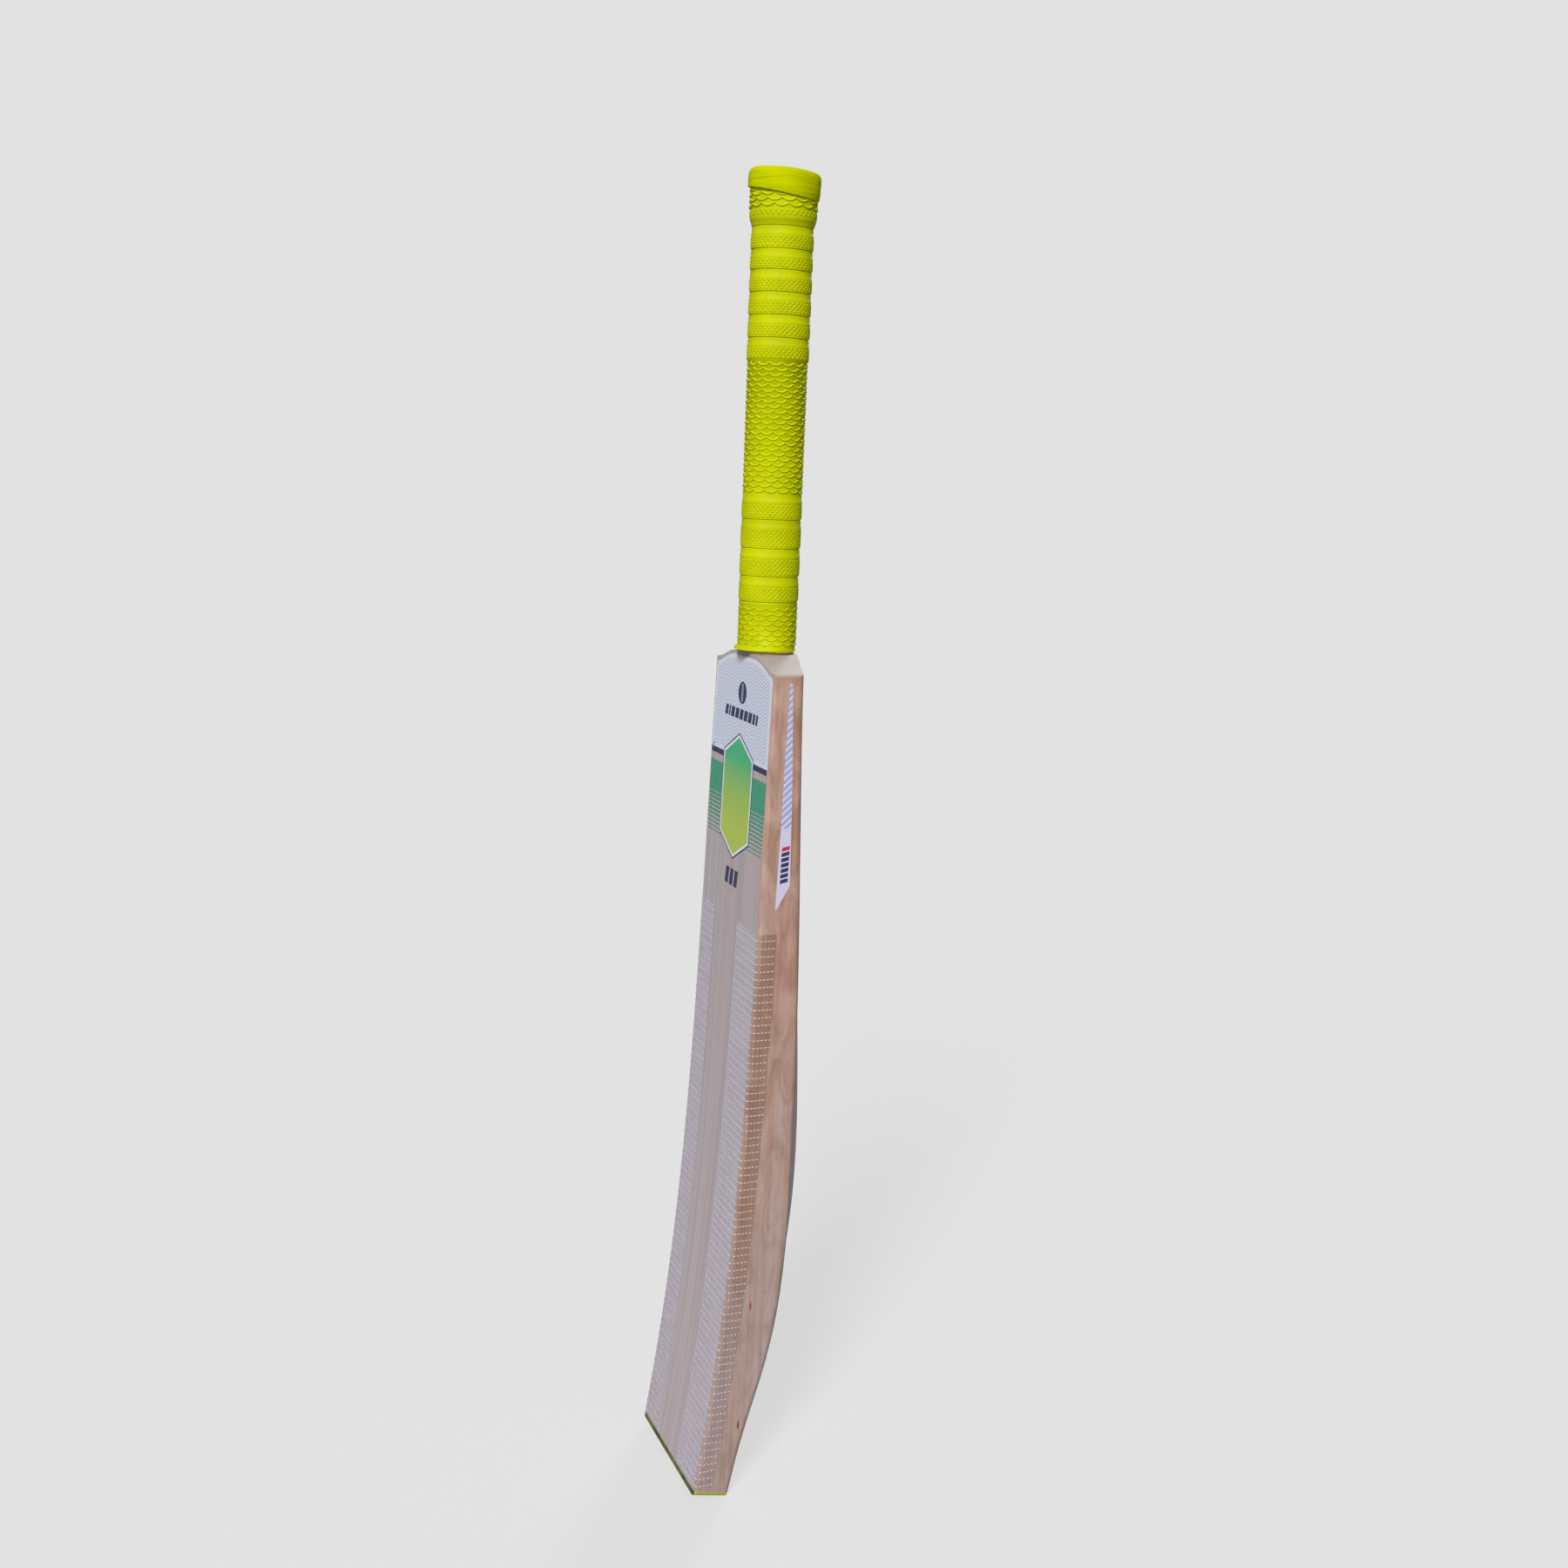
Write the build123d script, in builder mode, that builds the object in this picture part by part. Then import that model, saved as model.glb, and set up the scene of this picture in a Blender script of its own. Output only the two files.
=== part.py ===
"""Full-size short-handle cricket bat, in millimetres.

The frame: +Z up along the handle, -Y out of the hitting face, +X towards the right-hand edge
as the face is looked at. The origin is the middle of the toe's flat end.
The willow blade is one piece with a V cut in its shoulder. The handle is twelve canes in four
layers with three springs between them, and its lower end is the wedge that fills the V.
"""

from build123d import *
from math import cos, radians, sin
import os

os.makedirs("parts", exist_ok=True)

# ---------------------------------------------------------------- blade
blade_half_width = 54.0
shoulder_half_width = 52.8
width_taper_start = 300.0  # the edges run parallel below this height
shoulder_height = 548.0  # outer corner of the shoulder
neck_height = 556.0  # where the shoulder meets the handle
face_corner_radius = 2.5
back_corner_radius = 4.0
toe_corner_radius = 4.5
toe_tilt = 12.0  # the toe is cut square to the bowed face, so it slopes down to the back
toe_back = 12.5  # along the toe's flat, from its middle to its back edge
toe_back_round = 3.0
handle_axis_y = 39.0  # the handle stands behind the toe because of the bow

# Side view: thickness of the edges, and of the blade along its spine, at heights above the toe
edge_thickness = [
    (-24, 21.0),
    (10, 25.2),
    (55, 30.6),
    (95, 36.6),
    (133, 39.3),
    (220, 37.2),
    (395, 28.3),
    (580, 18.9),
]
spine_thickness = [
    (-24, 17.0),
    (10, 28.5),
    (68, 47.5),
    (150, 60.8),
    (290, 54.6),
    (430, 41.0),
    (556, 31.5),
    (580, 30.8),
]
ridge_slope_at_edge = 13.0  # degrees, where the back leaves the edge
ridge_reach = 0.50  # how far the edge's slope carries towards the ridge, as a share of the half width
ridge_crown = 0.24  # half the width of the rounded ridge, as a share of the half width

loft_bottom = -16.0
loft_top = 572.0
loft_spans = 14

# ---------------------------------------------------------------- splice and handle
splice_tip_height = 400.0
splice_tip_half_width = 2.0
splice_top_half_width = 16.4
handle_top = 849.0
cane_half_width = 15.8  # the handle is oval, deeper from front to back
cane_half_depth = 17.0
cane_split = 5.4  # half the width of the middle cane
spring_thickness = 1.5
spring_pitch = 8.6

# ---------------------------------------------------------------- coverings
twine_thickness = 0.6
twine_bottom = 556.0
twine_top = 847.0

grip_thickness = 1.6
grip_bottom = 557.6
grip_top = 851.4
flare_bottom = 819.0
flare_swell = 1.2
cuff_bottom = 837.5
cuff_swell = 3.5
cuff_bottom_round = 2.0
cuff_top_round = 3.4
groove_width = 1.4
groove_depth = 0.45
upper_groove_start = 751.4
upper_groove_pitch = 13.2
upper_grooves = 6
lower_groove_start = 588.8
lower_groove_pitch = 17.2
lower_grooves = 4

guard_thickness = 3.6

tape_top = 383.7
tape_bottom = 7.5
tape_thickness = 0.25
tape_width = 50.0
right_tape_on_face = 37.5  # the rest of each tape's width wraps round the edge
left_tape_on_face = 27.0

label_thickness = 0.12
label_top_half_width = 47.6
label_half_width = 50.2
label_bottom = 400.0
label_inset = 2.6  # wood left showing between the label and the shoulder
edge_label_front = 10.4  # behind the face
edge_label_top = 542.7
edge_label_top_width = 1.8
edge_label_kink = 414.7
edge_label_kink_width = 8.6
edge_label_tip = 399.7
back_label_top = 524.0
back_label_bottom = 408.0
back_label_inner = 12.0
back_label_outer = 43.0
back_label_slant = 18.0


def bow(height):
    """The face's y at a height. It runs nearly straight from the handle and sweeps forward to the toe."""
    down = (557.7 - height) / 555.0
    return handle_axis_y - (14.1 + 19.5 * down - 26.4 * down**2 + 42.4 * down**3)


def half_width(height):
    taper = (height - width_taper_start) / (shoulder_height - width_taper_start)
    return blade_half_width - (blade_half_width - shoulder_half_width) * max(0.0, taper)


def drawn_curve(points):
    """A smooth curve in the YZ plane through (height, thickness) points."""
    with BuildLine(Plane.YZ) as curve:
        Spline(*[(thickness, height) for height, thickness in points])
    return curve.line


def thickness_at(curve, height):
    """The curve rises all the way, so halving finds the place at that height."""
    low, high = 0.0, 1.0
    for _ in range(40):
        middle = (low + high) / 2
        if (curve @ middle).Z < height:
            low = middle
        else:
            high = middle
    return (curve @ middle).Y


edge_curve = drawn_curve(edge_thickness)
spine_curve = drawn_curve(spine_thickness)


def blade_section(height, grow):
    """The blade's outline at a height. grow swells it evenly, for the films that lie on the wood."""
    wide = half_width(height) + grow
    face = bow(height) - grow
    edge = bow(height) + thickness_at(edge_curve, height) + grow
    ridge = bow(height) + thickness_at(spine_curve, height) + grow
    front_round = face_corner_radius + grow
    back_round = back_corner_radius + grow
    rise = radians(ridge_slope_at_edge)
    reach = ridge_reach * half_width(height)
    crown = ridge_crown * half_width(height)
    with BuildSketch(Plane.XY.offset(height)) as outline:
        with BuildLine():
            Line((front_round - wide, face), (wide - front_round, face))
            front = CenterArc((wide - front_round, face + front_round), front_round, -90, 90)
            back = CenterArc((wide - back_round, edge - back_round), back_round, 0, 90 - ridge_slope_at_edge)
            side = Line(front @ 1, back @ 0)
            slope = Bezier(
                back @ 1,
                back @ 1 + Vector(-reach * cos(rise), reach * sin(rise)),
                (crown, ridge),
                (0, ridge),
            )
            mirror(front, about=Plane.YZ)
            mirror(back, about=Plane.YZ)
            mirror(side, about=Plane.YZ)
            mirror(slope, about=Plane.YZ)
        make_face()
    return outline.sketch


def blade_body(grow):
    span = (loft_top - loft_bottom) / loft_spans
    with BuildPart() as body:
        loft([blade_section(loft_bottom + i * span, grow) for i in range(loft_spans + 1)])
    return body.part


def shoulder_sweep(drop, reach):
    """The shoulder from the neck out to its corner, in front view. drop lowers it evenly."""
    return Spline(
        (splice_top_half_width - 1.0, neck_height - drop),
        (27.0, 554.4 - drop),
        (38.0, 550.9 - drop),
        (reach, shoulder_height + 0.2 - drop),
        tangents=((1, 0), (1, -0.1)),
    )


toe_normal = (0, sin(radians(toe_tilt)), cos(radians(toe_tilt)))
toe_plane = Plane(origin=(0, 0, 0), x_dir=(1, 0, 0), z_dir=toe_normal)
guard_plane = toe_plane.offset(guard_thickness)
toe_backward = Vector(0, cos(radians(toe_tilt)), -sin(radians(toe_tilt)))
toe_side_plane = Plane(origin=(0, 0, 0), x_dir=toe_backward, z_dir=(1, 0, 0))
toe_front_plane = Plane(origin=(0, 0, 0), x_dir=(1, 0, 0), z_dir=-toe_backward)

# ---------------------------------------------------------------- the blade's whole shape, before it is cut
body = blade_body(0.0)

with BuildPart() as blank:
    add(body)
    with BuildSketch(Plane.XZ) as above_shoulders:
        with BuildLine():
            sweep_line = shoulder_sweep(0.0, shoulder_half_width - 1.5)
            Polyline(
                sweep_line @ 1,
                (shoulder_half_width, shoulder_height - 1.2),
                (90, shoulder_height - 1.2),
                (90, 620),
                (0, 620),
                (0, neck_height),
                sweep_line @ 0,
            )
        make_face()
        mirror(about=Plane.YZ)
    extrude(amount=150, both=True, mode=Mode.SUBTRACT)
    split(bisect_by=toe_plane, keep=Keep.TOP)
    with BuildSketch(toe_front_plane) as beyond_corners:
        Rectangle(130, 2 * toe_corner_radius)
        with Locations((0, 50)):
            RectangleRounded(2 * blade_half_width + 0.2, 100, toe_corner_radius, mode=Mode.SUBTRACT)
    extrude(amount=100, both=True, mode=Mode.SUBTRACT)
    with BuildSketch(toe_side_plane) as behind_toe:
        with BuildLine():
            back_round_arc = RadiusArc(
                (toe_back - toe_back_round, 0),
                (toe_back + 0.6, toe_back_round),
                -toe_back_round,
            )
            Polyline(
                back_round_arc @ 1,
                (toe_back + 10, toe_back_round),
                (toe_back + 10, -3),
                (toe_back - toe_back_round, -3),
                back_round_arc @ 0,
            )
        make_face()
    extrude(amount=70, both=True, mode=Mode.SUBTRACT)

with BuildPart() as splice_window:
    with BuildSketch(Plane.XZ) as splice_outline:
        with BuildLine():
            Polyline(
                (-splice_tip_half_width, splice_tip_height),
                (splice_tip_half_width, splice_tip_height),
                (splice_top_half_width, neck_height + 10),
                (-splice_top_half_width, neck_height + 10),
                close=True,
            )
        make_face()
    extrude(amount=150, both=True)

# ---------------------------------------------------------------- blade and toe guard
with BuildPart() as blade:
    add(blank.part)
    split(bisect_by=guard_plane, keep=Keep.TOP)
    add(splice_window.part, mode=Mode.SUBTRACT)

blade.part.label = "blade"
export_step(blade.part, "parts/blade.step")

with BuildPart() as toe_guard:
    add(blank.part)
    split(bisect_by=guard_plane, keep=Keep.BOTTOM)

toe_guard.part.label = "toe_guard"
export_step(toe_guard.part, "parts/toe_guard.step")

# ---------------------------------------------------------------- handle
with BuildPart() as handle:
    add(blank.part)
    add(splice_window.part, mode=Mode.INTERSECT)
    with BuildSketch(Plane.XY.offset(neck_height)) as shaft_outline:
        with Locations((0, handle_axis_y)):
            Ellipse(cane_half_width, cane_half_depth)
    extrude(amount=handle_top - neck_height)


def handle_lamina(label, left, right, front, back):
    """The part of the handle between two x values and two depths from its axis."""
    with BuildPart() as lamina:
        add(handle.part)
        with BuildSketch(Plane.XY.offset(splice_tip_height - 10)) as window:
            with Locations(((left + right) / 2, handle_axis_y + (front + back) / 2)):
                Rectangle(right - left, back - front)
        extrude(amount=handle_top - splice_tip_height + 20, mode=Mode.INTERSECT)
    lamina.part.label = label
    export_step(lamina.part, f"parts/{label}.step")


outside = 60.0  # past the wood on every side
half_spring = spring_thickness / 2
layer_faces = [-outside, -spring_pitch, 0.0, spring_pitch, outside]
for layer in range(4):
    layer_front = layer_faces[layer] + (half_spring if layer > 0 else 0.0)
    layer_back = layer_faces[layer + 1] - (half_spring if layer < 3 else 0.0)
    handle_lamina(f"cane_{layer + 1}_left", -outside, -cane_split, layer_front, layer_back)
    handle_lamina(f"cane_{layer + 1}_middle", -cane_split, cane_split, layer_front, layer_back)
    handle_lamina(f"cane_{layer + 1}_right", cane_split, outside, layer_front, layer_back)

for number, depth in enumerate([-spring_pitch, 0.0, spring_pitch]):
    handle_lamina(f"spring_{number + 1}", -outside, outside, depth - half_spring, depth + half_spring)

# ---------------------------------------------------------------- twine binding and rubber grip
with BuildPart() as handle_binding:
    with BuildSketch(Plane.XY.offset(twine_bottom)) as twine_outline:
        with Locations((0, handle_axis_y)):
            Ellipse(cane_half_width + twine_thickness, cane_half_depth + twine_thickness)
            Ellipse(cane_half_width, cane_half_depth, mode=Mode.SUBTRACT)
    extrude(amount=twine_top - twine_bottom)

handle_binding.part.label = "handle_binding"
export_step(handle_binding.part, "parts/handle_binding.step")

grip_half_width = cane_half_width + twine_thickness + grip_thickness
grip_half_depth = cane_half_depth + twine_thickness + grip_thickness
groove_heights = [upper_groove_start + i * upper_groove_pitch for i in range(upper_grooves)]
groove_heights += [lower_groove_start + i * lower_groove_pitch for i in range(lower_grooves)]

with BuildPart() as grip:
    with BuildSketch(Plane.XY.offset(grip_bottom)) as sleeve_outline:
        with Locations((0, handle_axis_y)):
            Ellipse(grip_half_width, grip_half_depth)
    extrude(amount=grip_top - grip_bottom)
    fillet(grip.edges().group_by(Axis.Z)[0], 0.5)
    with BuildSketch(Plane.XY.offset(flare_bottom)) as flare_outline:
        with Locations((0, handle_axis_y)):
            Ellipse(grip_half_width + flare_swell, grip_half_depth + flare_swell)
    extrude(amount=grip_top - flare_bottom)
    flare_step = grip.edges().filter_by_position(Axis.Z, flare_bottom - 0.01, flare_bottom + 0.01)
    fillet(flare_step.sort_by(SortBy.LENGTH)[-1], 1.0)
    with BuildSketch(Plane.XY.offset(cuff_bottom)) as cuff_outline:
        with Locations((0, handle_axis_y)):
            Ellipse(grip_half_width + cuff_swell, grip_half_depth + cuff_swell)
    extrude(amount=grip_top - cuff_bottom)
    cuff_step = grip.edges().filter_by_position(Axis.Z, cuff_bottom - 0.01, cuff_bottom + 0.01)
    fillet(cuff_step.sort_by(SortBy.LENGTH)[-1], cuff_bottom_round)
    fillet(grip.edges().group_by(Axis.Z)[-1], cuff_top_round)
    for groove_height in groove_heights:
        with BuildSketch(Plane.XY.offset(groove_height - groove_width / 2)) as groove_outline:
            with Locations((0, handle_axis_y)):
                Ellipse(grip_half_width + 0.6, grip_half_depth + 0.6)
                Ellipse(grip_half_width - groove_depth, grip_half_depth - groove_depth, mode=Mode.SUBTRACT)
        extrude(amount=groove_width, mode=Mode.SUBTRACT)
    with BuildSketch(Plane.XY.offset(grip_bottom - 1)) as bore_outline:
        with Locations((0, handle_axis_y)):
            Ellipse(cane_half_width + twine_thickness, cane_half_depth + twine_thickness)
    extrude(amount=grip_top - grip_bottom + 2, mode=Mode.SUBTRACT)

grip.part.label = "grip"
export_step(grip.part, "parts/grip.step")

# ---------------------------------------------------------------- films lying on the wood
tape_skin = blade_body(tape_thickness)
label_skin = blade_body(label_thickness)


def export_film(label, skin, window):
    """The layer between the swollen blade and the blade, where it lies inside the window."""
    with BuildPart() as film:
        add(skin)
        add(window, mode=Mode.INTERSECT)
        add(body, mode=Mode.SUBTRACT)
    film.part.label = label
    export_step(film.part, f"parts/{label}.step")


def side_strip(bottom, top, start, depth):
    """A block in front of a line that keeps depth behind the face, from x = start outwards."""
    steps = 12
    heights = [bottom + i * (top - bottom) / steps for i in range(steps + 1)]
    with BuildPart() as strip:
        with BuildSketch(Plane.YZ.offset(start)) as strip_outline:
            with BuildLine():
                Spline(*[(bow(height) + depth, height) for height in heights])
                Polyline(
                    (bow(top) + depth, top),
                    (-60, top),
                    (-60, bottom),
                    (bow(bottom) + depth, bottom),
                )
            make_face()
        extrude(amount=60)
    return strip.part


right_start = blade_half_width - right_tape_on_face
left_start = blade_half_width - left_tape_on_face
right_tape_window = side_strip(tape_bottom, tape_top, right_start, tape_width - right_tape_on_face)
left_tape_window = side_strip(tape_bottom, tape_top, left_start, tape_width - left_tape_on_face)
export_film("face_tape_right", tape_skin, right_tape_window)
export_film("face_tape_left", tape_skin, left_tape_window.mirror(Plane.YZ))

with BuildPart() as face_label_window:
    with BuildSketch(Plane.XZ) as face_label_outline:
        with BuildLine():
            label_top = shoulder_sweep(label_inset, label_top_half_width)
            Polyline(
                label_top @ 1,
                (label_half_width - 0.8, shoulder_height - label_inset - 3.0),
                (label_half_width, shoulder_height - 80),
                (label_half_width, label_bottom + 30),
                (label_half_width - 8, label_bottom),
                (0, label_bottom),
                (0, neck_height - label_inset),
                label_top @ 0,
            )
        make_face()
        mirror(about=Plane.YZ)
    extrude(amount=-35)

export_film("face_label", label_skin, face_label_window.part)

with BuildPart() as edge_label_window:
    with BuildSketch(Plane.YZ.offset(blade_half_width - 12)) as edge_label_outline:
        with BuildLine():
            Polyline(
                (bow(edge_label_top) + edge_label_front, edge_label_top),
                (bow(edge_label_top) + edge_label_front + edge_label_top_width, edge_label_top),
                (bow(480) + edge_label_front + 5.8, 480),
                (bow(edge_label_kink) + edge_label_front + edge_label_kink_width, edge_label_kink),
                (bow(edge_label_tip) + edge_label_front + 0.4, edge_label_tip),
                (bow(edge_label_tip) + edge_label_front - 0.4, edge_label_tip),
                (bow(450) + edge_label_front, 450),
                (bow(500) + edge_label_front, 500),
                close=True,
            )
        make_face()
    extrude(amount=20)

export_film("edge_label_right", label_skin, edge_label_window.part)
export_film("edge_label_left", label_skin, edge_label_window.part.mirror(Plane.YZ))

with BuildPart() as back_label_window:
    with BuildSketch(Plane.XZ.offset(-bow(460) - 24)) as back_label_outline:
        with BuildLine():
            Polyline(
                (back_label_inner, back_label_top),
                (back_label_outer, back_label_top - back_label_slant),
                (back_label_outer, back_label_bottom + back_label_slant),
                (back_label_inner, back_label_bottom),
                close=True,
            )
        make_face()
    extrude(amount=-60)

export_film("back_label_right", label_skin, back_label_window.part)
export_film("back_label_left", label_skin, back_label_window.part.mirror(Plane.YZ))
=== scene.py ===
import math

import bmesh
import bpy
from mathutils import Matrix, Vector


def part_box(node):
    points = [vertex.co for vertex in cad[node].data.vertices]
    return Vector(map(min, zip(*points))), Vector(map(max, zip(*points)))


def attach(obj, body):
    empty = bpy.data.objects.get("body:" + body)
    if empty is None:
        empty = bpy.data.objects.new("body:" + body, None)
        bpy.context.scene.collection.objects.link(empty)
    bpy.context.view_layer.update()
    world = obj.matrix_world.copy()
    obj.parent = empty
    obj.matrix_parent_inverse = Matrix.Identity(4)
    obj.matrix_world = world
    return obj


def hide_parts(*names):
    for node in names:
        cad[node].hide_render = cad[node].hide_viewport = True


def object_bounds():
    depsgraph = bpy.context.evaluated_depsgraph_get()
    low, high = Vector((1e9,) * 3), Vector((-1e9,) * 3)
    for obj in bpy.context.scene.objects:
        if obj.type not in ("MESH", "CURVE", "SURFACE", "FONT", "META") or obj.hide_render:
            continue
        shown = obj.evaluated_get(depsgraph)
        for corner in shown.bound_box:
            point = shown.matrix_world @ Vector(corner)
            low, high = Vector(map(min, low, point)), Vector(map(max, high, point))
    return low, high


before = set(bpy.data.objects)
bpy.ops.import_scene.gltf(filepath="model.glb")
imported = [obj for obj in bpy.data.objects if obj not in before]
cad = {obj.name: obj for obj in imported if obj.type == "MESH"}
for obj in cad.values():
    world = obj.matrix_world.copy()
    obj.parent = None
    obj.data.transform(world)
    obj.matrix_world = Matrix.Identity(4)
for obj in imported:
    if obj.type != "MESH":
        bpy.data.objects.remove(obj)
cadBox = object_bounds()
mm = 0.001


def hexColour(code):
    # hex as read off a colour card, turned to the linear values the shaders want
    channels = [int(code[i:i + 2], 16) / 255 for i in (0, 2, 4)]
    linear = [c / 12.92 if c <= 0.04045 else ((c + 0.055) / 1.055) ** 2.4 for c in channels]
    return (*linear, 1.0)


def addNode(tree, kind, settings=None, values=None, links=None):
    # settings go on the node, values on its sockets, and links are (socket, where it comes from)
    node = tree.nodes.new(kind)
    for key, value in (settings or {}).items():
        setattr(node, key, value)
    for key, value in (values or {}).items():
        node.inputs[key].default_value = value
    for key, source in (links or {}).items():
        tree.links.new(source, node.inputs[key])
    return node


def newMaterial(name, shader):
    material = bpy.data.materials.new(name)
    material.use_nodes = True
    tree = material.node_tree
    tree.nodes.clear()
    surface = addNode(tree, "ShaderNodeBsdfPrincipled", values=shader)
    addNode(tree, "ShaderNodeOutputMaterial", links={"Surface": surface.outputs[0]})
    place = addNode(tree, "ShaderNodeTexCoord")
    return material, tree, surface, place


def clearSelection():
    for piece in list(bpy.context.selected_objects):
        piece.select_set(False)


def select(*pieces):
    clearSelection()
    for piece in pieces:
        piece.select_set(True)
    bpy.context.view_layer.objects.active = pieces[-1]


def named(name):
    piece = bpy.context.active_object
    piece.name = name
    piece.data.name = name
    return piece


def pick(piece, kind, test):
    # in edit mode: selects the verts, edges or faces whose middle passes the test
    bpy.ops.mesh.select_mode(type={"verts": "VERT", "edges": "EDGE", "faces": "FACE"}[kind])
    bpy.ops.mesh.select_all(action="DESELECT")
    cage = bmesh.from_edit_mesh(piece.data)
    for element in getattr(cage, kind):
        spots = [element.co] if kind == "verts" else [corner.co for corner in element.verts]
        if test(piece.matrix_world @ (sum(spots, Vector()) / len(spots))):
            element.select_set(True)
    cage.select_flush_mode()
    bmesh.update_edit_mesh(piece.data)


def copyOf(piece, matrix=None):
    other = piece.copy()
    other.data = piece.data.copy()
    bpy.context.collection.objects.link(other)
    other.matrix_world = matrix if matrix else piece.matrix_world.copy()
    return other


def joined(name, pieces):
    select(*pieces)
    bpy.ops.object.join()
    return named(name)


def settle(piece):
    # puts the place, turn and size into the mesh
    select(piece)
    bpy.ops.object.transform_apply(location=True, rotation=True, scale=True)
    return piece


def smoothShade(piece, angle):
    select(piece)
    bpy.ops.object.shade_smooth_by_angle(angle=math.radians(angle))


def applied(piece, kind, settings):
    select(piece)
    modifier = piece.modifiers.new(kind.title(), kind)
    for key, value in settings.items():
        setattr(modifier, key, value)
    bpy.ops.object.modifier_apply(modifier=modifier.name)


def flatShape(name, corners, place):
    # a flat blank with a vertex for each corner, each moved to its place
    clearSelection()
    bpy.ops.mesh.primitive_circle_add(vertices=len(corners), radius=1 * mm, fill_type="NGON",
                                      location=place(0, 0))
    piece = settle(named(name))
    bpy.ops.object.mode_set(mode="EDIT")
    bpy.ops.mesh.select_mode(type="VERT")
    cage = bmesh.from_edit_mesh(piece.data)
    cage.verts.ensure_lookup_table()
    starts = [vert.co.copy() for vert in cage.verts]
    for index, corner in enumerate(corners):
        bpy.ops.mesh.select_all(action="DESELECT")
        cage = bmesh.from_edit_mesh(piece.data)
        cage.verts.ensure_lookup_table()
        cage.verts[index].select_set(True)
        cage.select_flush_mode()
        bmesh.update_edit_mesh(piece.data)
        bpy.ops.transform.translate(value=tuple(Vector(place(*corner)) - starts[index]))
    bpy.ops.object.mode_set(mode="OBJECT")
    return piece


def finished(piece, material=None, nodes=()):
    if material:
        piece.data.materials.clear()
        piece.data.materials.append(material)
    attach(piece, "root")
    if nodes:
        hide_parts(*nodes)


def repaint(node, material):
    for slot in cad[node].material_slots:
        slot.material = material


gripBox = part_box("grip")
gripLow = gripBox[0][2] / mm
gripHigh = gripBox[1][2] / mm
axisY = (gripBox[0][1] + gripBox[1][1]) / 2

# materials


def stretchedNoise(tree, place, size, detail=3.0, distortion=0.0, turn=(0, 0, 0)):
    # noise whose grain is size mm along each axis
    scale = [1 / (length * mm) for length in size]
    spread = addNode(tree, "ShaderNodeMapping", values={"Scale": scale, "Rotation": turn},
                     links={"Vector": place.outputs["Object"]})
    noise = addNode(tree, "ShaderNodeTexNoise",
                    values={"Scale": 1.0, "Detail": detail, "Distortion": distortion},
                    links={"Vector": spread.outputs["Vector"]})
    return noise.outputs["Fac"]


def toned(tree, factor, stops):
    # a colour ramp through (position, colour) stops
    tone = addNode(tree, "ShaderNodeValToRGB", links={"Fac": factor})
    ramp = tone.color_ramp
    while len(ramp.elements) < len(stops):
        ramp.elements.new(0.5)
    for element, (position, colour) in zip(ramp.elements, stops):
        element.position = position
        element.color = colour
    return tone.outputs["Color"]


def blended(tree, factor, first, second, kind="MIX"):
    # factor is a socket or a plain number
    settings = {"data_type": "RGBA", "blend_type": kind}
    if isinstance(factor, float):
        mix = addNode(tree, "ShaderNodeMix", settings, {0: factor}, {6: first, 7: second})
    else:
        mix = addNode(tree, "ShaderNodeMix", settings, links={0: factor, 6: first, 7: second})
    return mix.outputs[2]


def ranged(tree, value, low, high):
    # 0 below low, 1 above high, smooth between
    return addNode(tree, "ShaderNodeMapRange", {"interpolation_type": "SMOOTHSTEP"},
                   {"From Min": low, "From Max": high}, {"Value": value}).outputs["Result"]


def evenly(tree, value, low, high):
    # the same in a straight line
    return addNode(tree, "ShaderNodeMapRange", values={"From Min": low, "From Max": high},
                   links={"Value": value}).outputs["Result"]


def worked(tree, operation, value, other):
    # one sum on a socket; other is a socket or a plain number
    if isinstance(other, float):
        return addNode(tree, "ShaderNodeMath", {"operation": operation}, {1: other}, {0: value}).outputs[0]
    return addNode(tree, "ShaderNodeMath", {"operation": operation}, links={0: value, 1: other}).outputs[0]


def axes(tree, socket):
    return addNode(tree, "ShaderNodeSeparateXYZ", links={"Vector": socket}).outputs


def shade(colour, factor):
    return (*[channel * factor for channel in colour[:3]], 1.0)


def mouldedRubber(name, wrinkled):
    # moulded natural rubber, dyed through: a deep even lime with a dull sheen
    # where it is stretched over itself it wrinkles
    sheen = 0.0 if wrinkled else 0.08
    folds = (26, 26, 2.6) if wrinkled else (1.4, 1.4, 1.4)  # a wrinkle, long and wide, or the mould's grit
    depth = 0.7 if wrinkled else 0.04
    material, tree, surface, place = newMaterial(name, {"Roughness": 0.55, "IOR": 1.52,
                                                        "Specular IOR Level": sheen})
    cloud = stretchedNoise(tree, place, (14, 14, 14))
    colour = toned(tree, cloud, [(0.3, hexColour("c0c800")), (0.7, hexColour("ccd400"))])
    tree.links.new(colour, surface.inputs["Base Color"])
    bump = addNode(tree, "ShaderNodeBump", values={"Strength": 1.0, "Distance": depth * mm},
                   links={"Height": stretchedNoise(tree, place, folds, 2.0, 0.4)})
    tree.links.new(bump.outputs["Normal"], surface.inputs["Normal"])
    return material


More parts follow.
